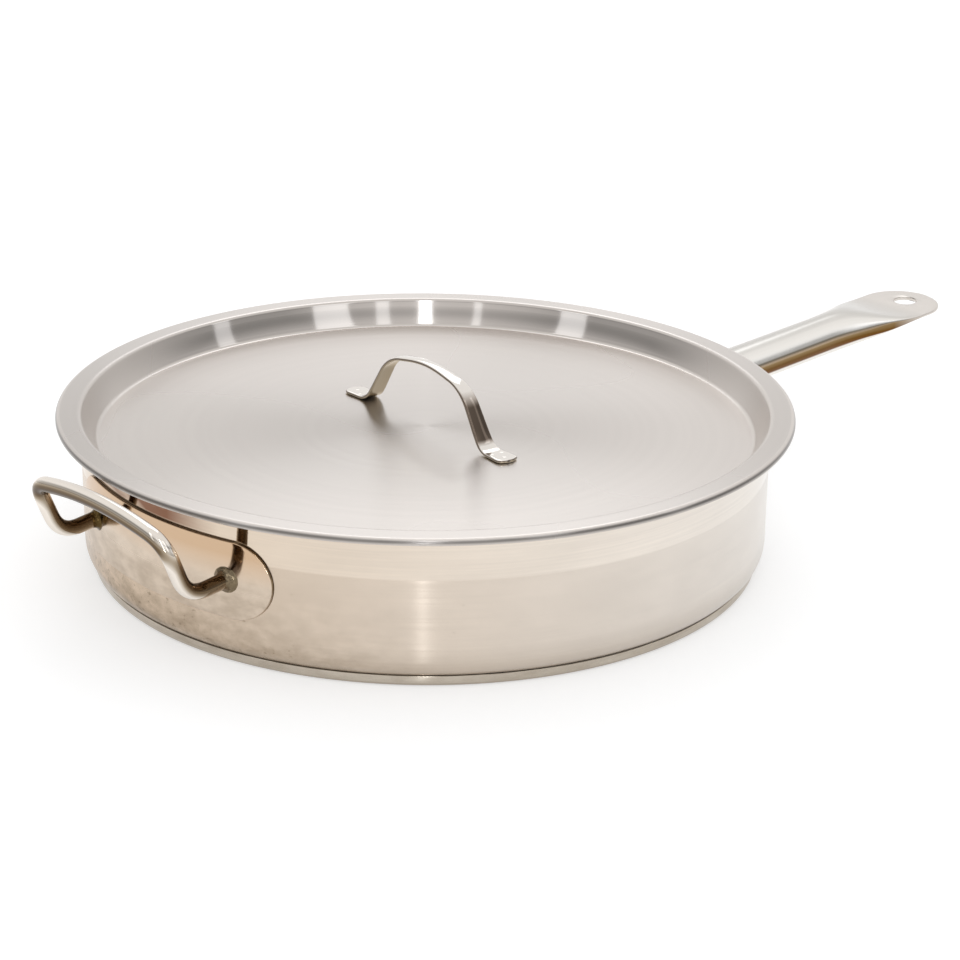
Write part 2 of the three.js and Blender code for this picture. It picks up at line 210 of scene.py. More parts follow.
class SAUTE_PG_lid(PropertyGroup):
    """Sizes of the lid and its strap."""

    sheet: length("Sheet", "Thickness of the lid's sheet", 0.001)
    recess: length("Recess", "How far the flat is sunk under the flange", 0.016)
    flat_radius: length("Flat radius", "Radius where the flat meets the sloped ring", 0.1917)
    flare: length("Flare", "How far the sloped ring spreads as it rises", 0.0088)
    ring_bow: length("Ring bow", "How far the sloped ring is bowed outwards", 0.0006)
    ring_bend: length("Ring bend", "Radius of the sloped ring's bow", 0.07)
    edge_radius: length("Edge radius", "Inside radius of the turned-down edge", 0.0015)
    edge_drop: length("Edge drop", "How far the edge is turned down", 0.002)
    turn: angle("Turn", "How far the loose lid is turned on the pan", -5)
    strap_length: length("Strap length", "Length of the strap over its feet", 0.154)
    strap_crown_width: length("Crown width", "Width of the strap at its crown", 0.007)
    strap_foot_width: length("Foot width", "Width of the strap at its feet", 0.015)
    strap_sheet: length("Strap sheet", "Thickness of the strap", 0.0018)
    strap_rise: length("Strap rise", "Height of the strap's underside over the flat", 0.0386)
    strap_bend: length("Strap bend", "Radius of the strap's bend at its crown", 0.092)
    foot_end: length("Foot end", "How far from the strap's middle its feet end", 0.0555)
    foot_bend: length("Foot bend", "Radius of the bend where the strap leaves the lid", 0.012)
    shoulder: length("Shoulder", "How far from the strap's middle its shoulders are", 0.035)
    shoulder_rise: length("Shoulder rise", "Height of the strap's shoulders over the flat", 0.0325)
    shoulder_bend: length("Shoulder bend", "Radius of the strap's shoulders", 0.026)
    strap_offset: length("Strap offset", "How far the strap sits off the lid's middle", 0.0015)
    strap_camber: length("Camber", "How far the strap's edges roll down from its middle", 0.0006)


class SAUTE_PG_long_handle(PropertyGroup):
    """Sizes of the long handle."""

    tube_width: length("Tube width", "Width of the oval tube", 0.032)
    tube_height: length("Tube height", "Height of the oval tube", 0.0252)
    reach: length("Reach", "Length of the handle from its seat", 0.2646)
    rise: angle("Rise", "How steeply the handle rises", 2.6)
    press_start: length("Press start", "Where the tube begins to be pressed flat", 0.148)
    press_end: length("Press end", "Where the tube is flat", 0.232)
    tongue_width: length("Tongue width", "Width of the flat tongue", TONGUE_HIGH.y - TONGUE_LOW.y)
    tongue_sheet: length("Tongue thickness", "Thickness of the flat tongue", 0.0024)
    tongue_lift: length("Tongue lift", "How far the tongue lies above the tube's middle", 0.0013)
    tongue_corner: length("Tongue corner", "Radius of the tongue's corners", 0.026)
    hole_radius: length("Hole radius", "Radius of the hanging hole", 0.0078)
    hole_from_tip: length("Hole from tip", "Distance from the tip to the hole's middle", 0.019)
    weld: length("Weld", "Width of the weld bead", 0.004)
    ripples: IntProperty(name="Ripples", description="Ripples round the weld bead", default=30, min=1)


class SAUTE_PG_helper(PropertyGroup):
    """Sizes of the helper handle."""

    rod_radius: length("Rod radius", "Radius of the bent bar", 0.0044)
    foot_spacing: length("Foot spacing", "Distance between the bar's two feet", 0.116)
    elbow_reach: length("Elbow reach", "How far the feet run out before the bar turns up", 0.025)
    elbow_drop: length("Elbow drop", "How far the feet drop on the way out", 0.003)
    corner_spacing: length("Corner spacing", "Distance between the upper corners", 0.117)
    corner_reach: length("Corner reach", "How far out the upper corners are", 0.0388)
    corner_rise: length("Corner rise", "How far the upper corners are above the feet", 0.031)
    crown_reach: length("Crown reach", "How far out the middle of the grip is", 0.0398)
    crown_rise: length("Crown rise", "How far the middle of the grip is above the feet", 0.041)
    bend: length("Bend", "How far from a corner the bar starts to bend", 0.013)
    crown_bend: length("Crown bend", "How far from the middle the grip starts to bend", 0.045)
    weld: length("Weld", "Width of the weld beads", 0.003)
    ripples: IntProperty(name="Ripples", description="Ripples round a weld bead", default=14, min=1)


class SAUTE_PG_finish(PropertyGroup):
    """Colours of the metals and of what use has left on them."""

    wall: colour("Satin wall", "Satin steel of the wall", "#DCD5CD")
    warm_wall: colour("Warm wall", "Satin steel of the wall on the helper handle's side", "#CEB89F")
    # The band's lift is a painted sheen over the buffed band.
    band: colour("Bright band", "Lift of the buffed band under the lip", "#6A6054")
    # Burnt fat, and also painted shade on the wall's foot, the cap's lower edge and the plate's edge.
    burnt: colour("Burnt fat", "Film and specks low on the wall", "#6E5A3F")
    copper: colour("Copper tint", "Heat tint over the helper handle's plate", "#704228")
    lid: colour("Satin lid", "Satin steel of the lid", "#CCC5BF")
    strap: colour("Strap", "Bright steel of the lid's strap", "#EDE8E1")
    cap: colour("Base cap", "Brushed steel of the cap under the base", "#CCC3B6")
    bar: colour("Bar", "Bright steel of the helper handle", "#D8CFC4")
    tongue: colour("Tongue", "Hazy steel of the long handle's flat end", "#D4CDC6")
    plate: colour("Plate", "Bright steel of the helper handle's plate", "#DACAB8")
    plate_top: colour("Plate's top", "Warmer tint of that plate's upper edge", "#CBAE90")
    weld: colour("Weld", "Bare weld metal", "#85765F")
    straw: colour("Straw tint", "Golden heat tint of the welds", "#5E4A28")
    core: colour("Aluminium", "Rolled aluminium in the base", "#B9BABB")


class SAUTE_PG_studio(PropertyGroup):
    """The camera's place, the stage's size and its colours."""

    azimuth: angle("Azimuth", "Camera's direction round the pan", -43.2)
    elevation: angle("Elevation", "Camera's height over the pan", 21.107)
    roll: angle("Roll", "Camera's roll", 0.797)
    distance: length("Distance", "Camera's distance from what it looks at", 1.5331)
    lens: FloatProperty(name="Lens", description="Focal length in millimetres", default=97.5, min=10)
    floor_radius: length("Floor radius", "Radius of the floor", 12)
    floor: colour("Floor", "Pale paint of the floor", "#CECECE")
    daylight: colour("Daylight", "Cool white of the soft boxes", "#F4F9FF")


class SAUTE_PG_settings(PropertyGroup):
    """Everything that a user can set."""

    body: PointerProperty(type=SAUTE_PG_body)
    lid: PointerProperty(type=SAUTE_PG_lid)
    long_handle: PointerProperty(type=SAUTE_PG_long_handle)
    helper: PointerProperty(type=SAUTE_PG_helper)
    finish: PointerProperty(type=SAUTE_PG_finish)
    studio: PointerProperty(type=SAUTE_PG_studio)


def linear(code):
    """The linear colour of an sRGB hex value."""
    channels = [int(code[i:i + 2], 16) / 255 for i in (1, 3, 5)]
    return [c / 12.92 if c <= 0.04045 else ((c + 0.055) / 1.055) ** 2.4 for c in channels] + [1.0]


def set_inputs(tree, node, inputs):
    """Sets or links a node's inputs, given by name or in the order of those in use.

    A node given as an input stands for the first of its outputs in use.
    """
    if not isinstance(inputs, dict):
        used = [i for i, socket in enumerate(node.inputs) if socket.enabled]
        inputs = dict(zip(used, inputs))
    for key, value in inputs.items():
        if isinstance(value, bpy.types.Node):
            value = next(output for output in value.outputs if output.enabled)
        if isinstance(value, bpy.types.NodeSocket):
            tree.links.new(value, node.inputs[key])
        else:
            node.inputs[key].default_value = value


def add_node(tree, kind, inputs=(), **settings):
    """Adds a node, sets its properties, and sets or links its inputs."""
    node = tree.nodes.new(kind)
    for name, value in settings.items():
        setattr(node, name, value)
    set_inputs(tree, node, inputs)
    return node


def set_stops(ramp, stops):
    """Sets a colour ramp's stops, each a place from 0 to 1 and a linear colour."""
    elements = ramp.color_ramp.elements
    elements[0].color, elements[1].color = stops[0][1], stops[-1][1]
    for at, shade in stops:
        elements.new(at).color = shade


# Outlines and meshes


def bent_line(corners, step=math.radians(6), hold=0.0004):
    """Points along straight runs between (x, y, bend radius) corners, each bend drawn as an arc.

    A point just before and after each bend keeps the shading of the straight runs flat.
    """
    spots = [Vector(corner[:2]) for corner in corners]
    line = []
    for i, corner in enumerate(corners):
        if len(corner) < 3:
            line.append(spots[i])
            continue
        radius = corner[2]
        into = (spots[i] - spots[i - 1]).normalized()
        away = (spots[i + 1] - spots[i]).normalized()
        turn = math.atan2(into.x * away.y - into.y * away.x, into.dot(away))
        reach = radius * math.tan(abs(turn) / 2)
        start = spots[i] - into * reach
        side = Vector((-into.y, into.x)) * math.copysign(radius, turn)
        line.append(start - into * hold)
        count = math.ceil(abs(turn) / step)
        for k in range(count + 1):
            line.append(start + side + Matrix.Rotation(turn * k / count, 2) @ -side)
        line.append(line[-1] + away * hold)
    return line


def left_of(line, i):
    """The direction to the left of a line of points, at one of them."""
    along = (line[min(i + 1, len(line) - 1)] - line[max(i - 1, 0)]).normalized()
    return Vector((-along.y, along.x))


def sheet_profile(near, wall, edge_steps=8):
    """The outline of a sheet from the axis out, round its rounded edge and back to the axis."""
    far = [point + left_of(near, i) * wall for i, point in enumerate(near)]
    middle = (near[-1] + far[-1]) / 2
    spoke = near[-1] - middle
    turns = [math.pi * k / edge_steps for k in range(1, edge_steps)]
    return near + [middle + Matrix.Rotation(turn, 2) @ spoke for turn in turns] + far[::-1]


def spaced(line, step):
    """A line of points with more points set in its long runs."""
    fine = [line[0]]
    for before, after in zip(line, line[1:]):
        count = max(1, math.ceil((after - before).length / step))
        fine += [before.lerp(after, k / count) for k in range(1, count + 1)]
    return fine


def placed(name, data):
    """A new object of this data, in the scene."""
    thing = bpy.data.objects.new(name, data)
    bpy.context.scene.collection.objects.link(thing)
    return thing


def mesh_object(name, points, edges=(), faces=()):
    """A new object of these points, edges and faces, in the scene."""
    mesh = bpy.data.meshes.new(name)
    mesh.from_pydata([tuple(point) for point in points], list(edges), list(faces))
    return placed(name, mesh)


def path_object(name, points):
    """A line of points as a mesh of edges, for a node tree to follow."""
    return mesh_object(name, points, edges=[(i, i + 1) for i in range(len(points) - 1)])


def lofted(name, rings, capped=True, looped=False):
    """A piece through rings of as many points each, capped at its ends or looped back to its start."""
    around = len(rings[0])
    points = [point for ring in rings for point in ring]
    faces = []
    for r in range(len(rings) if looped else len(rings) - 1):
        low, high = r * around, (r + 1) * around % len(points)
        for k in range(around):
            after = (k + 1) % around
            faces.append((low + k, low + after, high + after, high + k))
    if capped:
        faces.append(tuple(range(around))[::-1])
        faces.append(tuple(range(len(points) - around, len(points))))
    return mesh_object(name, points, faces=faces)


def smooth(piece, limit=math.radians(40), merge=1e-6):
    """Merges a piece's seams, turns its faces outwards and shades it smooth up to a limit between faces."""
    work = bmesh.new()
    work.from_mesh(piece.data)
    bmesh.ops.remove_doubles(work, verts=work.verts, dist=merge)
    bmesh.ops.recalc_face_normals(work, faces=work.faces)
    work.to_mesh(piece.data)
    work.free()
    piece.data.shade_smooth()
    piece.data.set_sharp_from_angle(angle=limit)
    return piece


def plain_mesh(piece):
    """The mesh that a piece's modifiers make of it."""
    return bpy.data.meshes.new_from_object(piece.evaluated_get(bpy.context.evaluated_depsgraph_get()))


def fit(piece, body, node, material=None):
    """Puts a finished piece on its body in place of its CAD node."""
    if material:
        piece.data.materials.clear()
        piece.data.materials.append(material)
    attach(piece, body)
    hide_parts(node)
    return piece


# Geometry node trees


def piece_tree(name, sizes):
    """A new node tree with a geometry in and out and one named input for each size."""
    tree = bpy.data.node_groups.new(name, "GeometryNodeTree")
    tree.interface.new_socket("Geometry", in_out="INPUT", socket_type="NodeSocketGeometry")
    for label, kind in sizes.items():
        tree.interface.new_socket(label, in_out="INPUT", socket_type=kind)
    tree.interface.new_socket("Finish", in_out="INPUT", socket_type="NodeSocketMaterial")
    tree.interface.new_socket("Geometry", in_out="OUTPUT", socket_type="NodeSocketGeometry")
    return tree, add_node(tree, "NodeGroupInput").outputs


def end_tree(tree, given, made):
    """Ends a tree: smooth shading, real geometry in place of instances, and the finish."""
    shaded = add_node(tree, "GeometryNodeSetShadeSmooth", {"Geometry": made})
    real = add_node(tree, "GeometryNodeRealizeInstances", {"Geometry": shaded})
    finished = add_node(tree, "GeometryNodeSetMaterial", {"Geometry": real, "Material": given["Finish"]})
    add_node(tree, "NodeGroupOutput", {"Geometry": finished})
    return tree


def turned_sheet_tree():
    """Turns a profile line about the Z axis: the profile is swept round a ring and closed at the poles."""
    sizes = {"Steps": "NodeSocketInt", "Ring Radius": "NodeSocketFloat"}
    tree, given = piece_tree("turned_sheet", sizes)
    profile = add_node(tree, "GeometryNodeMeshToCurve", {"Mesh": given["Geometry"]})
    circle = {"Resolution": given["Steps"], "Radius": given["Ring Radius"]}
    ring = add_node(tree, "GeometryNodeCurvePrimitiveCircle", circle)
    upright = add_node(tree, "GeometryNodeSetCurveNormal", {"Curve": ring}, mode="Z_UP")
    sheet = add_node(tree, "GeometryNodeCurveToMesh", {"Curve": upright, "Profile Curve": profile})
    closed = add_node(tree, "GeometryNodeMergeByDistance", {"Geometry": sheet, "Distance": 1e-6})
    return end_tree(tree, given, closed)


def bent_bar_tree():
    """Sweeps a round section along a path."""
    sizes = {"Sides": "NodeSocketInt", "Bar Radius": "NodeSocketFloat"}
    tree, given = piece_tree("bent_bar", sizes)
    path = add_node(tree, "GeometryNodeMeshToCurve", {"Mesh": given["Geometry"]})
    circle = {"Resolution": given["Sides"], "Radius": given["Bar Radius"]}
    section = add_node(tree, "GeometryNodeCurvePrimitiveCircle", circle)
    sweep = {"Curve": path, "Profile Curve": section, "Fill Caps": True}
    return end_tree(tree, given, add_node(tree, "GeometryNodeCurveToMesh", sweep))


def spot_weld_tree():
    """Sets a low round button on each point."""
    sizes = {"Button Radius": "NodeSocketFloat", "Flatness": "NodeSocketVector"}
    tree, given = piece_tree("spot_welds", sizes)
    spots = add_node(tree, "GeometryNodeMeshToPoints", {"Mesh": given["Geometry"]})
    ball = {"Segments": 20, "Rings": 12, "Radius": given["Button Radius"]}
    button = add_node(tree, "GeometryNodeMeshUVSphere", ball)
    placing = {"Points": spots, "Instance": button, "Scale": given["Flatness"]}
    return end_tree(tree, given, add_node(tree, "GeometryNodeInstanceOnPoints", placing))


def grown(name, tree, base, sizes):
    """The plain mesh that a tree makes of a base object, which it takes the place of."""
    modifier = base.modifiers.new(tree.name, "NODES")
    modifier.node_group = tree
    for item in tree.interface.items_tree:
        if item.in_out == "INPUT" and item.name in sizes:
            modifier[item.identifier] = sizes[item.name]
    base.update_tag()
    mesh = plain_mesh(base)
    mesh.name = name
    bpy.data.objects.remove(base)
    return placed(name, mesh)


def turned(name, profile, level, material):
    """A turned piece from its profile of (radius, height) points, raised to a level."""
    ring_radius = max(point.x for point in profile) / 2
    line = [Vector((point.x - ring_radius, -point.y - level, 0)) for point in profile]
    steps = bpy.context.scene.saute_pan.body.steps
    sizes = {"Steps": steps, "Ring Radius": ring_radius, "Finish": material}
    return grown(name, turned_sheet_tree(), path_object(name, line), sizes)


# Materials. Their changes are each a value, the two ends of its range, and what these turn into.


def bare_metal(name, hex_colour, roughness):
    """A bare metal with an even colour and roughness. Gives its tree, shader and Object place too."""
    material = bpy.data.materials.new(name)
    material.use_nodes = True
    tree = material.node_tree
    shader = tree.nodes["Principled BSDF"]
    set_inputs(tree, shader, {"Base Color": linear(hex_colour), "Metallic": 1, "Roughness": roughness})
    place = add_node(tree, "ShaderNodeTexCoord").outputs["Object"]
    return material, tree, shader, place


def brushed_round(tree, shader, strength):
    """Brushes a metal round the pan's axis, which draws its highlights out across the brushing."""
    shader.inputs["Anisotropic"].default_value = strength
    shader.inputs["Anisotropic Rotation"].default_value = ACROSS_BRUSHING
    around = add_node(tree, "ShaderNodeTangent", direction_type="RADIAL", axis="Z")
    set_inputs(tree, shader, {"Tangent": around})


def streaks(tree, place, runs, detail=3):
    """Soft streaks with these lengths along X, Y and Z, as a value that is mostly within NOISE."""
    stretch = tuple(1 / run for run in runs)
    stretched = add_node(tree, "ShaderNodeVectorMath", (place, stretch), operation="MULTIPLY")
    texture = {"Vector": stretched, "Scale": 1, "Detail": detail, "Roughness": 0.6}
    return add_node(tree, "ShaderNodeTexNoise", texture)


def outward(tree, place):
    """How far each face points out from the pan's axis, times its distance from the axis."""
    level = add_node(tree, "ShaderNodeVectorMath", (place, (1, 1, 0)), operation="MULTIPLY")
    normal = add_node(tree, "ShaderNodeNewGeometry").outputs["Normal"]
    return add_node(tree, "ShaderNodeVectorMath", (level, normal), operation="DOT_PRODUCT")


def overlap(tree, share, *others):
    """What is left of a share where others lie over it: all of them multiplied."""
    for other in others:
        share = add_node(tree, "ShaderNodeMath", (share, other), operation="MULTIPLY")
    return share


def filmed(tree, steel, *films):
    """A colour with films laid over it in turn, each given by its share and its colour."""
    for share, film in films:
        steel = add_node(tree, "ShaderNodeMix", (share, steel, linear(film)), data_type="RGBA")
    return steel


def satin_wall(finish):
    """Drawn stainless steel, brushed round the wall and buffed bright in a band under the lip.

    The brushing draws each highlight out into an upright streak, and the bright band is a mirror whose colour
    is lifted too, a painted sheen.
    Heat has left the helper handle's side warmer. Low on the wall lie specks of burnt fat and a film that is
    partly burnt fat and partly painted shade, under the helper handle and all round the foot.
    """
    material, tree, shader, place = bare_metal("satin_drawn_stainless", finish.wall, 0.3)
    brushed_round(tree, shader, 1)
    height = add_node(tree, "ShaderNodeSeparateXYZ", (place,)).outputs["Z"]
    facing = outward(tree, place)
    aside = add_node(tree, "ShaderNodeVectorMath", (place, ASIDE), operation="DOT_PRODUCT")
    onward = add_node(tree, "ShaderNodeVectorMath", (place, ONWARD), operation="DOT_PRODUCT")
    # A belt leaves lines of about 0.1 mm. They are drawn 1 mm apart, so that they show.
    brushing = streaks(tree, place, (0.09, 0.09, 0.001))
    smudges = streaks(tree, place, (0.05, 0.05, 0.018))
    mottling = streaks(tree, place, (0.012, 0.012, 0.007))
    fat = streaks(tree, place, (0.004, 0.004, 0.003))
    changes = {
        "outside": (facing, 0, 0.05, 0, 1),
        "band": (height, 0.0624, 0.0634, 0, 1),
        "satin": (brushing, *NOISE, 0.17, 0.24),
        "bright": (smudges, *NOISE, 0.04, 0.1),
        "lines": (brushing, *NOISE, 0.96, 1.03),
        "handling": (smudges, *NOISE, 0.965, 1.03),
        "heated_half": (onward, -0.08, 0, 0, 1),
        "warm": (aside, -0.2, 0.17, 1, 0),
        # Heat has tinted the buffed band over the helper handle's plate.
        "patch": (aside, -0.105, -0.135, 0, 0.9),
        "patch_end": (aside, -0.186, -0.172, 0, 1),
        "patch_foot": (height, 0.073, 0.0745, 0, 1),
        "uneven": (smudges, 0.35, 0.55, 0.35, 1),
        # A mottled film, partly burnt fat and partly painted shade, with small specks of burnt fat, is
        # thickest at the foot under the helper handle. Painted shade also darkens the foot all round.
        "helper_side": (aside, 0.02, -0.17, 0, 1),
        "low": (height, 0.06, 0.012, 0, 1),
        "mottled": (mottling, 0.35, 0.65, 0, 0.5),
        # Painted shade all round the foot, where the wall reflects the floor's shadow.
        "foot": (height, 0.024, 0.009, 0, 0.25),
    }
    share = {name: add_node(tree, "ShaderNodeMapRange", change) for name, change in changes.items()}
    outside = share["outside"]
    band = overlap(tree, share["band"], outside)
    rough = add_node(tree, "ShaderNodeMix", (band, share["satin"], share["bright"]))

    heated = overlap(tree, share["heated_half"], outside)
    steel = filmed(tree, linear(finish.wall), (overlap(tree, share["warm"], heated), finish.warm_wall))
    # The buffed band's lifted colour is a painted sheen.
    buffed = (band, steel, linear(finish.band))
    steel = add_node(tree, "ShaderNodeMix", buffed, data_type="RGBA", blend_type="SCREEN")
    shade = overlap(tree, share["lines"], share["handling"])
    steel = add_node(tree, "ShaderNodeVectorMath", (steel, shade), operation="SCALE")

    patch = overlap(tree, share["patch"], share["patch_end"], share["patch_foot"], outside, share["uneven"])
    grime_and_shade = overlap(tree, share["helper_side"], heated, share["low"])
    # The film: grime and painted shade under the helper handle, and painted shade all round the foot.
    film = (overlap(tree, grime_and_shade, share["mottled"]), overlap(tree, share["foot"], outside))
    film = add_node(tree, "ShaderNodeMath", film, operation="ADD")
    # A speck shows where the noise is over a mark, which is lower where the film of grime and painted shade
    # lies.
    needed = add_node(tree, "ShaderNodeMapRange", (grime_and_shade, 0, 1, 0.74, 0.55))
    speck = add_node(tree, "ShaderNodeMath", (fat, needed), operation="SUBTRACT")
    speck = add_node(tree, "ShaderNodeMapRange", (speck, 0, 0.08, 0, 0.5))
    steel = filmed(tree, steel, (patch, finish.copper), (film, finish.burnt), (speck, finish.burnt))
    set_inputs(tree, shader, {"Base Color": steel, "Roughness": rough})
    return material


def satin_lid(finish):
    """Spun stainless steel with a fine satin on its flat and flange and a bright sloped ring.

    The satin's rings spread each highlight along the radius, towards and away from the eye.
    """
    material, tree, shader, place = bare_metal("satin_spun_stainless", finish.lid, 0.22)
    brushed_round(tree, shader, 0.85)
    height = add_node(tree, "ShaderNodeSeparateXYZ", (place,)).outputs["Z"]
    below = add_node(tree, "ShaderNodeMath", (LID_HIGH.z, height), operation="SUBTRACT")
    level = add_node(tree, "ShaderNodeVectorMath", (place, (1, 1, 0)), operation="MULTIPLY")
    radius = add_node(tree, "ShaderNodeVectorMath", (level,), operation="LENGTH")
    aside = add_node(tree, "ShaderNodeVectorMath", (place, ASIDE), operation="DOT_PRODUCT")
    apart = add_node(tree, "ShaderNodeMath", (aside,), operation="ABSOLUTE")
    smudges = streaks(tree, place, (0.12, 0.12, 0.12), 0)
    # The satin's rings are about 0.2 mm apart. They are drawn 5 mm apart, so that they show.
    count = add_node(tree, "ShaderNodeMath", (radius, 1 / 0.005), operation="MULTIPLY")
    rings = {"W": count, "Scale": 1, "Detail": 0}
    rings = add_node(tree, "ShaderNodeTexNoise", rings, noise_dimensions="1D")
    changes = {
        # The sloped ring is polished, and hazier towards both sides.
        "ring_inside": (radius, 0.1885, 0.1905, 0, 1),
        "ring_outside": (radius, 0.2, 0.202, 1, 0),
        "polish": (apart, 0.14, 0.18, 0.1, 0.32),
        "satin": (smudges, *NOISE, 0.25, 0.29),
        "rings": (rings, *NOISE, 0.993, 1.007),
        "handling": (smudges, *NOISE, 0.98, 1.02),
        # Painted shade darkens the satin in the middle, where the strap shades it; the satin is also darker
        # towards the helper handle's side.
        "middle_shade": (radius, 0.03, 0.15, 0.86, 1.03),
        "darker_towards_helper": (aside, -0.2, 0, 0.92, 1),
        # Painted shade darkens the flange towards both sides.
        "flange": (radius, 0.2, 0.202, 0, 1),
        "flank_shade": (apart, 0.1, 0.2, 1, 0.86),
        # The turned-down edge has a painted highlight along its bend and a painted dark reflection under it.
        "hem": (radius, 0.2112, 0.2118, 0, 1),
        "bend": (below, 0.0004, 0.0013, 1.15, 0.4),
        "edge": (below, 0.0019, 0.0034, 0.4, 1.05),
    }
    share = {name: add_node(tree, "ShaderNodeMapRange", change) for name, change in changes.items()}
    ring = overlap(tree, share["ring_inside"], share["ring_outside"])
    rough = add_node(tree, "ShaderNodeMix", (ring, share["satin"], share["polish"]))
    shade = overlap(tree, share["rings"], share["handling"], share["middle_shade"], share["darker_towards_helper"])
    # The turned-down edge's painted highlight and painted dark reflection.
    line = add_node(tree, "ShaderNodeMath", (share["bend"], share["edge"]), operation="MAXIMUM")
    for where, change in ((share["flange"], share["flank_shade"]), (share["hem"], line)):
        shade = overlap(tree, shade, add_node(tree, "ShaderNodeMix", (where, 1, change)))
    toned = (linear(finish.lid)[:3], shade)
    steel = add_node(tree, "ShaderNodeVectorMath", toned, operation="SCALE")
    set_inputs(tree, shader, {"Base Color": steel, "Roughness": rough})
    return material


def buffed_steel(name, hex_colour, haze=BRIGHT_HAZE):
    """Stainless steel buffed bright, with a haze of handling. Gives its tree, shader and Object place too."""
    material, tree, shader, place = bare_metal(name, hex_colour, haze[0])
    smudges = streaks(tree, place, (0.03, 0.03, 0.03))
    rough = add_node(tree, "ShaderNodeMapRange", (smudges, *NOISE, *haze))
    set_inputs(tree, shader, {"Roughness": rough})
    return material, tree, shader, place


def painted_reflection_steel(name, hex_colour, way, painted_reflections, haze=BRIGHT_HAZE, end=None, above=None):
    """Buffed steel that a bar is bent from, with a warm dark side and light bands painted on as reflections,
    highlights and shade.

    The tints follow how far each face points along a way. If an end is given, as the two distances
    along X where the tints start to fade and where they are gone, the plain colour is left past it.
    Another way for the upper part is given as that way and the two heights where it takes over.
    """
    material, tree, shader, place = buffed_steel(name, hex_colour, haze)
    parts = add_node(tree, "ShaderNodeSeparateXYZ", (place,)).outputs if end or above else None
    if above:
        upper, *heights = above
        share = add_node(tree, "ShaderNodeMapRange", (parts["Z"], *heights, 0, 1))
        way = add_node(tree, "ShaderNodeMix", (share, way, upper), data_type="VECTOR")
    normal = add_node(tree, "ShaderNodeNewGeometry").outputs["Normal"]
    along = add_node(tree, "ShaderNodeVectorMath", (normal, way), operation="DOT_PRODUCT")
    share = add_node(tree, "ShaderNodeMapRange", (along, -1, 1, 0, 1))
    # Painted reflections, highlights and shade, by how far each face points along the way.
    tint = add_node(tree, "ShaderNodeValToRGB", (share,))
    set_stops(tint, [((level + 1) / 2, linear(shade)) for level, shade in painted_reflections])
    if end:
        past = add_node(tree, "ShaderNodeMapRange", (parts["X"], *end, 0, 1))
        tint = filmed(tree, tint, (past, hex_colour))
    set_inputs(tree, shader, {"Base Color": tint})
    return material


def plate_steel(finish):
    """Buffed plate steel, a mirror on its upper half and hazy on its lower one.

    The plate on the helper handle's side is warm with heat, most of all along its top, and low down has a
    mottled film that is partly burnt fat and partly painted shade. A painted shade shows as a dark line round
    the edge of both, but for its lower side.
    """
    material, tree, shader, place = buffed_steel("buffed_plate_stainless", finish.plate)
    parts = add_node(tree, "ShaderNodeSeparateXYZ", (place,)).outputs
    height = parts["Z"]
    normal = add_node(tree, "ShaderNodeNewGeometry").outputs["Normal"]
    rising = add_node(tree, "ShaderNodeSeparateXYZ", (normal,)).outputs["Z"]
    changes = {
        "helper_side": (parts["X"], 0.1, -0.1, 0, 1),
        "top": (height, 0.05, 0.066, 0, 1),
        "low": (height, 0.062, 0.04, 0, 1),
        "mottled": (streaks(tree, place, (0.014, 0.014, 0.007)), 0.35, 0.65, 0.12, 0.38),
        # Painted shade: a dark line along the plate's edge, on all but its lower side.
        "rim": (outward(tree, place), 0.16, 0.1, 0, 0.9),
        "upper_side": (rising, -0.6, 0, 0, 1),
        "rough": (height, 0.058, 0.044, 0.08, 0.3),
    }
    share = {name: add_node(tree, "ShaderNodeMapRange", change) for name, change in changes.items()}
    heat = filmed(tree, linear(finish.plate), (share["top"], finish.plate_top))
    heated = (share["helper_side"], linear(finish.wall), heat)
    steel = add_node(tree, "ShaderNodeMix", heated, data_type="RGBA")
    # The low film is partly burnt fat and partly painted shade under the helper handle.
    grime_and_shade = overlap(tree, share["low"], share["mottled"], share["helper_side"])
    rim = overlap(tree, share["rim"], share["upper_side"])
    steel = filmed(tree, steel, (grime_and_shade, finish.burnt), (rim, finish.burnt))
    set_inputs(tree, shader, {"Base Color": steel, "Roughness": share["rough"]})
    return material


def weld_steel(finish):
    """Weld metal, left straw to brown by its own heat, more so on the +Y side.

    Its skin breaks the light up into specks of about 1 mm.
    """
    material, tree, shader, place = bare_metal("heat_tinted_weld_steel", finish.straw, 0.28)
    side = add_node(tree, "ShaderNodeSeparateXYZ", (place,)).outputs["Y"]
    specks = streaks(tree, place, (0.0012, 0.0012, 0.0012))
    heat = add_node(tree, "ShaderNodeMapRange", (side, -0.06, 0.06, 0, 1))
    shade = add_node(tree, "ShaderNodeMapRange", (specks, *NOISE, 0.6, 1))
    rough = add_node(tree, "ShaderNodeMapRange", (specks, *NOISE, 0.14, 0.28))
    steel = filmed(tree, linear(finish.weld), (heat, finish.straw))
    steel = add_node(tree, "ShaderNodeVectorMath", (steel, shade), operation="SCALE")
    set_inputs(tree, shader, {"Base Color": steel, "Roughness": rough})
    return material


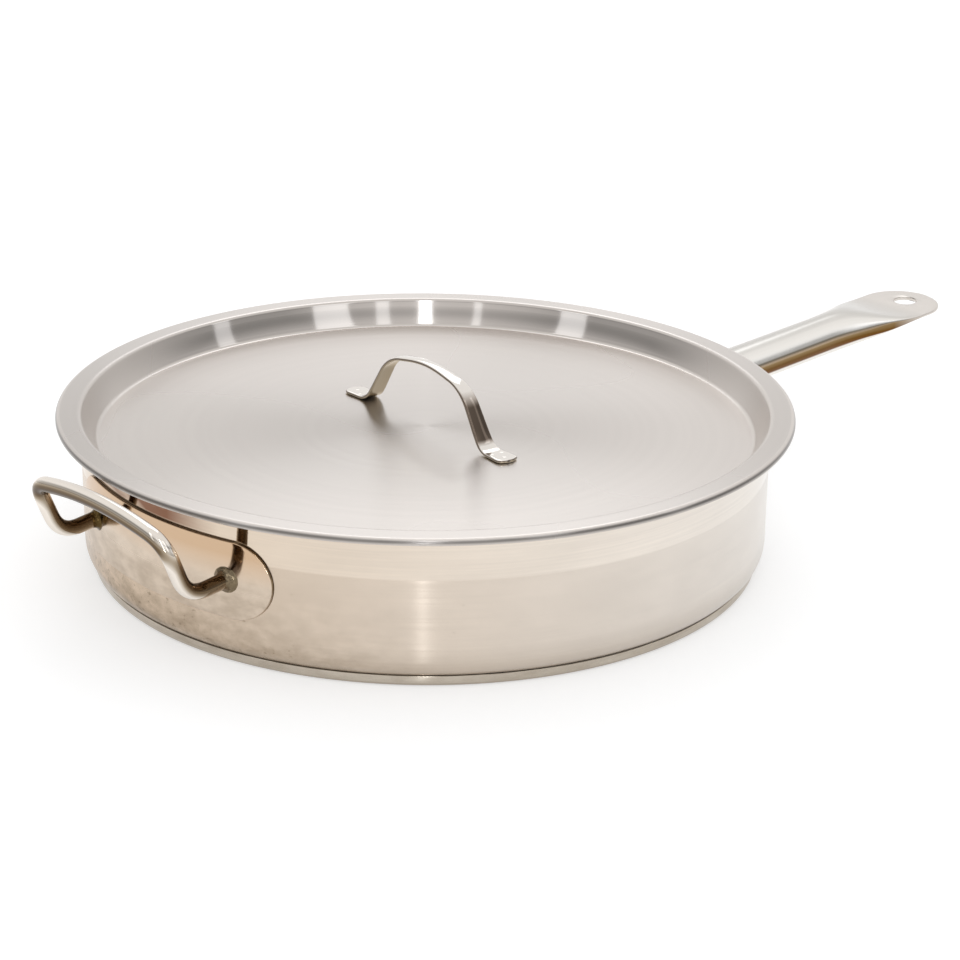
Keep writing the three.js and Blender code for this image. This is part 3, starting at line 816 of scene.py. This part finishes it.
def cap_steel(finish):
    """Pressed stainless steel, brushed round the cap, with painted shade along its lower edge where it
    reflects the floor's shadow.

    The brushing draws highlights out upright, as on the wall above it.
    """
    material, tree, shader, place = bare_metal("brushed_cap_stainless", finish.cap, 0.22)
    brushed_round(tree, shader, 1)
    height = add_node(tree, "ShaderNodeSeparateXYZ", (place,)).outputs["Z"]
    patches = streaks(tree, place, (0.03, 0.03, 0.01))
    # Painted shade darkens the lower edge; the patches are a random burnt film.
    lower_edge_shade = add_node(tree, "ShaderNodeMapRange", (height, 0.0035, 0.0005, 0, 0.6))
    patches = add_node(tree, "ShaderNodeMapRange", (patches, 0.35, 0.65, 0.1, 0.35))
    film = add_node(tree, "ShaderNodeMath", (lower_edge_shade, patches), operation="MAXIMUM")
    set_inputs(tree, shader, {"Base Color": filmed(tree, linear(finish.cap), (film, finish.burnt))})
    return material


def rolled_aluminium(finish):
    """Plain rolled aluminium, with the long faint lines of the mill along X."""
    material, tree, shader, place = bare_metal("rolled_aluminium", finish.core, 0.45)
    lines = streaks(tree, place, (0.2, 0.0015, 0.0015))
    rough = add_node(tree, "ShaderNodeMapRange", (lines, *NOISE, 0.35, 0.55))
    set_inputs(tree, shader, {"Roughness": rough})
    return material


# Pieces


class SAUTE_OT_body(Operator):
    """Turns the pan's shell and the cap under its base, and finishes the core between them."""

    bl_idname = "saute.body"
    bl_label = "Pan Body"

    def execute(self, context):
        size = context.scene.saute_pan.body
        finish = context.scene.saute_pan.finish
        lip_level = size.height - size.wall
        outside = bent_line([
            (0, size.floor),
            (size.radius, size.floor, size.foot_radius),
            (size.radius, lip_level, size.lip_radius),
            (size.radius + size.lip_radius + size.wall, lip_level),
        ])
        shell = turned("pan_body_shell", sheet_profile(outside, size.wall), 0, satin_wall(finish))
        fit(smooth(shell), "pan", "pan_shell")
        under = bent_line([(0, 0), (size.cap_radius, 0, size.cap_edge), (size.cap_radius, size.cap_height)])
        cap = turned("pan_base_cap", sheet_profile(under, size.cap_wall), 0, cap_steel(finish))
        fit(smooth(cap), "pan", "base_cap")
        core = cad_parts["base_core"]
        core.data.materials.clear()
        core.data.materials.append(rolled_aluminium(finish))
        return {"FINISHED"}


class SAUTE_OT_lid(Operator):
    """Turns the lid's sheet: a sunken flat, a sloped ring and a flange with a turned-down edge."""

    bl_idname = "saute.lid"
    bl_label = "Lid"

    def execute(self, context):
        size = context.scene.saute_pan.lid
        steel = satin_lid(context.scene.saute_pan.finish)
        seat = LID_HIGH.z - size.sheet
        edge = LID_HIGH.x - size.sheet
        corner = 3 * size.sheet
        bow = Vector((size.recess, -size.flare)).normalized() * size.ring_bow
        underside = bent_line([
            (0, -size.recess),
            (size.flat_radius, -size.recess, corner + size.sheet),
            (size.flat_radius + size.flare / 2 + bow.x, bow.y - size.recess / 2, size.ring_bend),
            (size.flat_radius + size.flare, 0, corner - size.sheet),
            (edge, 0, size.edge_radius),
            (edge, -size.edge_drop),
        ])
        disc = turned("lid_sheet", sheet_profile(underside, size.sheet), seat, steel)
        fit(smooth(disc), "lid", "lid_disc")
        return {"FINISHED"}


def strap_underside(size, bend_step=math.radians(3), step=0.002):
    """The line of the strap's underside from foot to foot, along its length and up from the lid."""
    half = [
        (-size.strap_length / 2, WELD_GAP),
        (-size.foot_end, WELD_GAP, size.foot_bend),
        (-size.shoulder, size.shoulder_rise, size.shoulder_bend),
    ]
    mirrored = [(-corner[0], *corner[1:]) for corner in half[::-1]]
    crown = (0, size.strap_rise, size.strap_bend)
    return spaced(bent_line([*half, crown, *mirrored], bend_step), step)


def strap_section(width, sheet, camber, edge_steps=6, face_steps=10):
    """A strap's section as (side, up) points: a cambered bar with rounded edges."""
    half = width / 2 - sheet / 2
    roll = [math.pi * (k / edge_steps - 0.5) for k in range(edge_steps + 1)]
    right = [(half + sheet / 2 * math.cos(a), sheet / 2 + sheet / 2 * math.sin(a)) for a in roll]
    top = [(half * (1 - 2 * k / face_steps), sheet) for k in range(1, face_steps)]
    outline = right + top
    outline += [(-side, sheet - up) for side, up in outline]
    return [(side, up - camber * (2 * side / width) ** 2) for side, up in outline]


class SAUTE_OT_lid_strap(Operator):
    """Lofts the lid's cambered strap and sets the spot welds on its feet."""

    bl_idname = "saute.lid_strap"
    bl_label = "Lid Strap"

    def execute(self, context):
        size = context.scene.saute_pan.lid
        half = size.strap_length / 2
        level = LID_HIGH.z - size.recess
        turn = Matrix.Rotation(size.turn, 3, "Z")
        underside = strap_underside(size)
        rings = []
        for i, point in enumerate(underside):
            share = abs(point.x) / half
            widening = (size.strap_foot_width - size.strap_crown_width) * share ** STRAP_FLARE
            width = size.strap_crown_width + widening
            past = max(abs(point.x) - half + STRAP_TIP, 0)
            width -= 2 * (STRAP_TIP - math.sqrt(max(STRAP_TIP ** 2 - past ** 2, 0)))
            up = left_of(underside, i)
            camber = size.strap_camber * min(1, point.y / CAMBER_RISE)
            ring = []
            for side, lift in strap_section(width, size.strap_sheet, camber):
                along = point + up * lift
                ring.append(turn @ Vector((size.strap_offset + side, along.x, level + along.y)))
            rings.append(ring)
        strap = smooth(lofted("lid_strap_bar", rings))
        bright = context.scene.saute_pan.finish.strap
        steel = painted_reflection_steel("buffed_strap_stainless", bright, STRAP_WAY, STRAP_PAINTED_REFLECTIONS)
        fit(strap, "lid", "lid_strap", steel)
        top = level + WELD_GAP + size.strap_sheet
        spots = []
        for end in (-1, 1):
            for along, side in SPOT_WELDS:
                spots.append(turn @ Vector((size.strap_offset + side, end * along, top)))
        flatness = (1, 1, SPOT_WELD_FLATNESS)
        sizes = {"Button Radius": SPOT_WELD_RADIUS, "Flatness": flatness, "Finish": steel}
        welds = grown("lid_strap_spot_welds", spot_weld_tree(), mesh_object("spots", spots), sizes)
        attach(smooth(welds), "lid")
        return {"FINISHED"}


def press_at(size, distance):
    """How far the tube is pressed flat at a distance along the handle: 0 oval, 1 flat."""
    share = (distance - size.press_start) / (size.press_end - size.press_start)
    return (1 - math.cos(math.pi * min(max(share, 0), 1))) / 2


def handle_ring(size, distance, points=72):
    """The handle's section at a distance from its seat, as points round it."""
    press = press_at(size, distance)
    stand = math.cos(press * math.pi / 2)
    half = (size.tube_width + (size.tongue_width - size.tube_width) * press) / 2
    high = (size.tongue_sheet + (size.tube_height - size.tongue_sheet) * stand) / 2
    past = max(distance - size.reach + size.tongue_corner, 0)
    half -= size.tongue_corner - math.sqrt(max(size.tongue_corner ** 2 - past ** 2, 0))
    power = 1 / (1 + TONGUE_SQUARENESS * press ** 3)
    ring = []
    for k in range(points):
        a = 2 * math.pi * k / points
        side = math.copysign(abs(math.cos(a)) ** power, math.cos(a)) * half
        up = math.copysign(abs(math.sin(a)) ** power, math.sin(a)) * high
        ring.append(Vector((distance, side, up + size.tongue_lift * press)))
    return ring


class SAUTE_OT_long_handle(Operator):
    """Lofts the long handle from an oval tube to a flat tongue and cuts its hanging hole."""

    bl_idname = "saute.long_handle"
    bl_label = "Long Handle"

    def execute(self, context):
        size = context.scene.saute_pan.long_handle
        start, step, blunt_tip = -PLATE_SHEET / 2, 0.002, 0.0001
        stops = [start, size.press_start, size.press_end, size.reach - size.tongue_corner, size.reach]
        along = []
        for before, after in zip(stops, stops[1:]):
            count = math.ceil((after - before) / step)
            along += [before + (after - before) * k / count for k in range(count)]
        rings = [handle_ring(size, distance) for distance in [*along, size.reach - blunt_tip]]
        handle = lofted("long_handle_tube", rings)
        centre = Vector((size.reach - size.hole_from_tip, 0, 0))
        self.cut_hole(smooth(handle), centre, size.hole_radius)
        place = Matrix.Translation((HANDLE_SEAT, 0, LONG_LEVEL)) @ Matrix.Rotation(-size.rise, 4, "Y")
        handle.data.transform(place)
        tongue = context.scene.saute_pan.finish.tongue
        steel = painted_reflection_steel("buffed_tube_stainless", tongue, TUBE_WAY, TUBE_PAINTED_REFLECTIONS, TUBE_HAZE, TUBE_END)
        fit(smooth(handle), "pan", "long_handle", steel)
        return {"FINISHED"}

    def cut_hole(self, handle, centre, radius, sides=64, deep=0.01, edge=0.0005):
        """Cuts a round hole with eased edges straight through the tongue."""
        spokes = [Matrix.Rotation(2 * math.pi * k / sides, 3, "Z") for k in range(sides)]
        rings = []
        for level in (-deep, deep):
            rings.append([centre + spoke @ Vector((radius, 0, level)) for spoke in spokes])
        cutter = smooth(lofted("hole_cutter", rings))
        cut = handle.modifiers.new("hole", "BOOLEAN")
        cut.object = cutter
        cut.operation = "DIFFERENCE"
        cut.solver = "EXACT"
        mesh = plain_mesh(handle)
        handle.modifiers.clear()
        handle.data = mesh
        bpy.data.objects.remove(cutter)
        work = bmesh.new()
        work.from_mesh(mesh)
        rim = [e for e in work.edges if self.on_rim(e, centre, radius)]
        bmesh.ops.bevel(work, geom=rim, offset=edge, segments=3, profile=0.5, affect="EDGES")
        work.to_mesh(mesh)
        work.free()

    def on_rim(self, e, centre, radius, slack=1e-5):
        """Whether an edge runs round the hole's rim."""
        spokes = [(v.co - centre).to_2d().length for v in e.verts]
        rounds = all(abs(spoke - radius) < slack for spoke in spokes)
        return rounds and abs(e.verts[0].co.z - e.verts[1].co.z) < slack


def rod_path(size, bend_steps=16, step=0.003, sunk=0.0012):
    """The middle line of the helper handle's bar, from foot to foot, on the -X side of the pan.

    Its feet are sunk into their welds.
    """
    foot = math.sqrt(HANDLE_SEAT ** 2 - (size.foot_spacing / 2) ** 2)
    slope = size.elbow_drop / size.elbow_reach
    side = size.foot_spacing / 2
    half = [
        (foot - sunk, side, sunk * slope, 0),
        (foot + size.elbow_reach, side, -size.elbow_drop, size.bend),
        (foot + size.corner_reach, size.corner_spacing / 2, size.corner_rise, size.bend),
    ]
    mirrored = [(x, -y, z, bend) for x, y, z, bend in half[::-1]]
    crown = (foot + size.crown_reach, 0, size.crown_rise, size.crown_bend)
    corners = [*half, crown, *mirrored]
    spots = [Vector((-x, -y, z + HELPER_LEVEL)) for x, y, z, bend in corners]
    path = [spots[0]]
    for before, at, after, corner in zip(spots, spots[1:], spots[2:], corners[1:]):
        start = at + (before - at).normalized() * corner[3]
        end = at + (after - at).normalized() * corner[3]
        for k in range(bend_steps + 1):
            share = k / bend_steps
            path.append(start.lerp(at, share).lerp(at.lerp(end, share), share))
    return spaced([*path, spots[-1]], step)


class SAUTE_OT_helper_handle(Operator):
    """Sweeps the helper handle's bar along its bent path."""

    bl_idname = "saute.helper_handle"
    bl_label = "Helper Handle"

    def execute(self, context):
        size = context.scene.saute_pan.helper
        bar = context.scene.saute_pan.finish.bar
        grip = (GRIP_WAY, *GRIP_START)
        steel = painted_reflection_steel("buffed_bar_stainless", bar, BAR_WAY, BAR_PAINTED_REFLECTIONS, above=grip)
        sizes = {"Sides": 40, "Bar Radius": size.rod_radius, "Finish": steel}
        path = path_object("helper_path", rod_path(size))
        rod = grown("helper_handle_rod", bent_bar_tree(), path, sizes)
        fit(smooth(rod), "pan", "helper_handle")
        return {"FINISHED"}


def wall_plate(name, side, width, height, level, ease=0.0006, end_steps=48, run_steps=60, ease_steps=5):
    """A plate with round ends and eased edges, bent to lie on the wall on the +X or -X side."""
    inside = WALL_RADIUS + WELD_GAP
    outside = inside + PLATE_SHEET
    end = height / 2
    run = width / 2 - end
    round_end = [math.pi * (k / end_steps - 0.5) for k in range(end_steps + 1)]
    straight = [run * (1 - 2 * k / run_steps) for k in range(1, run_steps)]
    half = [(run, math.cos(a) * end, math.sin(a) * end) for a in round_end]
    half += [(at, 0, end) for at in straight]
    outline = half + [(-at, -across, -up) for at, across, up in half]
    # Layers run from the middle of the outer face, over its eased edge, to the middle of the inner face.
    eased = [math.pi / 2 * k / ease_steps for k in range(ease_steps + 1)]
    layers = [(share, outside) for share in (0, 0.25, 0.5, 0.75, 0.9)]
    layers += [(1 - ease / end * (1 - math.sin(a)), outside - ease * (1 - math.cos(a))) for a in eased]
    layers += [(1, inside), (0.5, inside), (0, inside)]
    rings = []
    for share, radius in layers:
        ring = []
        for middle, across, up in outline:
            around = middle + across * share
            out = math.sqrt(radius ** 2 - around ** 2)
            ring.append(Vector((side * out, around, level + up * share)))
        rings.append(ring)
    return smooth(lofted(name, rings, capped=False))


class SAUTE_OT_wall_plates(Operator):
    """Makes the reinforcing plates behind both handles."""

    bl_idname = "saute.wall_plates"
    bl_label = "Wall Plates"

    def execute(self, context):
        steel = plate_steel(context.scene.saute_pan.finish)
        places = (
            ("helper_handle_plate", -1, HELPER_LOW, HELPER_HIGH, "helper_plate"),
            ("long_handle_wall_plate", 1, LONG_PLATE_LOW, LONG_PLATE_HIGH, "long_handle_plate"),
        )
        for name, side, low, high, node in places:
            plate = wall_plate(name, side, high.y - low.y, high.z - low.z, (low.z + high.z) / 2)
            fit(plate, "pan", node, steel)
        return {"FINISHED"}


def weld_ring(name, halves, size, side, foot, level, slope, ripples, fillet_steps=8, ripple_steps=12):
    """A weld bead round a bar, given by its half width and height, that meets a wall plate.

    It is a fillet with the faint ripples of its run.
    """
    plate = WALL_RADIUS + WELD_GAP + PLATE_SHEET
    turns = ripple_steps * ripples
    rings = []
    for k in range(turns):
        a = 2 * math.pi * k / turns
        width = size * (1 + RIPPLE_DEPTH * (abs(math.sin(ripples * a / 2)) - 1))
        profile = []
        for step in range(fillet_steps + 1):
            share = step / fillet_steps
            climb = width * FILLET_CURVE * (1 - share) ** FILLET_CURVE
            profile.append((width * share ** FILLET_CURVE, climb))
        profile += [(size, -WELD_SUNK), (-WELD_ROOT * halves[1], -WELD_SUNK)]
        ring = []
        for spread, climb in profile:
            across = foot + math.cos(a) * (halves[0] + spread)
            up = level + math.sin(a) * (halves[1] + spread) + max(climb, 0) * slope
            out = math.sqrt(plate ** 2 - across ** 2) + climb
            ring.append(Vector((side * out, side * across, up)))
        rings.append(ring)
    return smooth(lofted(name, rings, capped=False, looped=True))


class SAUTE_OT_weld_beads(Operator):
    """Makes the weld beads round the handles' feet."""

    bl_idname = "saute.weld_beads"
    bl_label = "Weld Beads"

    def execute(self, context):
        settings = context.scene.saute_pan
        helper, handle = settings.helper, settings.long_handle
        steel = weld_steel(settings.finish)
        rod = (helper.rod_radius, helper.rod_radius)
        tube = (handle.tube_width / 2, handle.tube_height / 2)
        foot = helper.foot_spacing / 2
        helper_slope = -helper.elbow_drop / helper.elbow_reach
        feet = (
            ("helper_bead_left", rod, helper, -1, foot, HELPER_LEVEL, helper_slope, "helper_weld_left"),
            ("helper_bead_right", rod, helper, -1, -foot, HELPER_LEVEL, helper_slope, "helper_weld_right"),
            ("long_handle_bead", tube, handle, 1, 0, LONG_LEVEL, math.tan(handle.rise), "long_handle_weld"),
        )
        for name, halves, size, side, at, level, slope, node in feet:
            bead = weld_ring(name, halves, size.weld, side, at, level, slope, size.ripples)
            fit(bead, "pan", node, steel)
        return {"FINISHED"}


# Stage


def looking_in(azimuth, elevation, roll, distance):
    """The place of a lamp or a camera that looks at the origin from a distance."""
    turn = Euler((math.pi / 2 - elevation, 0, azimuth)).to_matrix() @ Matrix.Rotation(roll, 3, "Z")
    return turn.to_4x4() @ Matrix.Translation((0, 0, distance))


class SAUTE_OT_stage(Operator):
    """Sets the floor, the studio's light and the camera."""

    bl_idname = "saute.stage"
    bl_label = "Stage"

    def execute(self, context):
        studio = context.scene.saute_pan.studio
        context.scene.view_settings.view_transform = "Standard"
        self.floor(studio)
        self.dome(context.scene, studio)
        self.soft_boxes(studio)
        self.camera(context.scene, studio)
        return {"FINISHED"}

    def floor(self, studio, sides=96):
        """A round white floor that keeps the pan's shadow."""
        spokes = [Matrix.Rotation(2 * math.pi * k / sides, 3, "Z") for k in range(sides)]
        rim = [spoke @ Vector((studio.floor_radius, 0, 0)) for spoke in spokes]
        floor = mesh_object("floor", rim, faces=[tuple(range(sides))])
        material = bpy.data.materials.new("white_floor")
        material.use_nodes = True
        tree = material.node_tree
        tree.nodes.clear()
        path = add_node(tree, "ShaderNodeLightPath").outputs
        seen = path["Is Camera Ray"]
        for kind in ("Is Glossy Ray", "Is Transmission Ray"):
            seen = add_node(tree, "ShaderNodeMath", (seen, path[kind]), operation="MAXIMUM")
        lift = add_node(tree, "ShaderNodeMath", (seen, FLOOR_LIFT), operation="MULTIPLY")
        paint = add_node(tree, "ShaderNodeBsdfDiffuse", {"Color": linear(studio.floor)})
        glow = add_node(tree, "ShaderNodeEmission", {"Strength": lift})
        both = add_node(tree, "ShaderNodeAddShader", (paint, glow))
        add_node(tree, "ShaderNodeOutputMaterial", {"Surface": both})
        floor.data.materials.append(material)

    def dome(self, scene, studio):
        """A studio dome, pale behind the pan and darker behind the camera and to its sides."""
        front = Vector((math.sin(studio.azimuth), -math.cos(studio.azimuth), 0))
        world = bpy.data.worlds.new("studio_dome")
        world.use_nodes = True
        tree = world.node_tree
        way = add_node(tree, "ShaderNodeTexCoord").outputs["Generated"]
        axes = (UP, UP - front * BAND_TILT, front, front - UP * NEAR_TILT)
        up, band, ahead, nearer = [
            add_node(tree, "ShaderNodeVectorMath", (way, axis), operation="DOT_PRODUCT") for axis in axes
        ]
        shades = []
        for height, stops in ((up, FAR_SIDE), (band, FLANKS), (band, NEAR_SIDE)):
            ramp = add_node(tree, "ShaderNodeValToRGB", (height,))
            set_stops(ramp, [(level, (shade, shade, shade, 1)) for level, shade in stops])
            shades.append(ramp)
        far_side, flanks, near_side = shades
        middle = add_node(tree, "ShaderNodeMapRange", (ahead, *FLANK_EDGE, 0, 1))
        near_side = add_node(tree, "ShaderNodeMix", (middle, flanks, near_side), data_type="RGBA")
        near = add_node(tree, "ShaderNodeMapRange", (nearer, *NEAR_EDGE, 0, 1))
        sides = add_node(tree, "ShaderNodeMix", (near, far_side, near_side), data_type="RGBA")
        set_inputs(tree, tree.nodes["Background"], {"Color": sides})
        scene.world = world

    def soft_boxes(self, studio):
        """Tall soft boxes round the pan, as lamps."""
        for turn, width, low, high, lean, shade in SOFT_BOXES:
            lamp = bpy.data.lights.new("soft_box", "AREA")
            lamp.shape = "RECTANGLE"
            lamp.size = 2 * SOFT_BOX_DISTANCE * math.tan(math.radians(width) / 2)
            lamp.size_y = 2 * SOFT_BOX_DISTANCE * math.tan(math.radians(high - low) / 2)
            lamp.energy = shade * math.pi * lamp.size * lamp.size_y
            lamp.color = linear(studio.daylight)[:3]
            box = placed("soft_box", lamp)
            box.visible_camera = False
            azimuth = studio.azimuth + math.radians(turn)
            middle = math.radians((low + high) / 2)
            box.matrix_world = looking_in(azimuth, middle, -math.radians(lean), SOFT_BOX_DISTANCE)

    def camera(self, scene, studio):
        """The camera at the photograph's angle."""
        lens = bpy.data.cameras.new("camera")
        lens.lens = studio.lens
        lens.sensor_width = 36
        lens.clip_end = 100
        camera = placed("camera", lens)
        view = looking_in(studio.azimuth, studio.elevation, studio.roll, studio.distance)
        camera.matrix_world = Matrix.Translation(CAMERA_AIM) @ view
        scene.camera = camera


class SAUTE_PT_panel(Panel):
    """Lists what makes the pan."""

    bl_label = "Saute Pan"
    bl_idname = "SAUTE_PT_panel"
    bl_space_type = "VIEW_3D"
    bl_region_type = "UI"
    bl_category = "Saute Pan"

    def draw(self, context):
        for operator in OPERATORS:
            self.layout.operator(operator.bl_idname)
        settings = context.scene.saute_pan
        for group in SAUTE_PG_settings.__annotations__:
            box = self.layout.box()
            box.label(text=group.replace("_", " ").title())
            values = getattr(settings, group)
            for name in values.__annotations__:
                box.prop(values, name)


GROUPS = (
    SAUTE_PG_body,
    SAUTE_PG_lid,
    SAUTE_PG_long_handle,
    SAUTE_PG_helper,
    SAUTE_PG_finish,
    SAUTE_PG_studio,
    SAUTE_PG_settings,
)
OPERATORS = (
    SAUTE_OT_stage,
    SAUTE_OT_body,
    SAUTE_OT_lid,
    SAUTE_OT_lid_strap,
    SAUTE_OT_long_handle,
    SAUTE_OT_helper_handle,
    SAUTE_OT_wall_plates,
    SAUTE_OT_weld_beads,
)
CLASSES = (*GROUPS, *OPERATORS, SAUTE_PT_panel)


def register():
    for cls in CLASSES:
        bpy.utils.register_class(cls)
    bpy.types.Scene.saute_pan = PointerProperty(type=SAUTE_PG_settings)


def unregister():
    del bpy.types.Scene.saute_pan
    for cls in reversed(CLASSES):
        bpy.utils.unregister_class(cls)


def main():
    register()
    for operator in OPERATORS:
        group, name = operator.bl_idname.split(".")
        getattr(getattr(bpy.ops, group), name)()


if __name__ == "__main__":
    main()
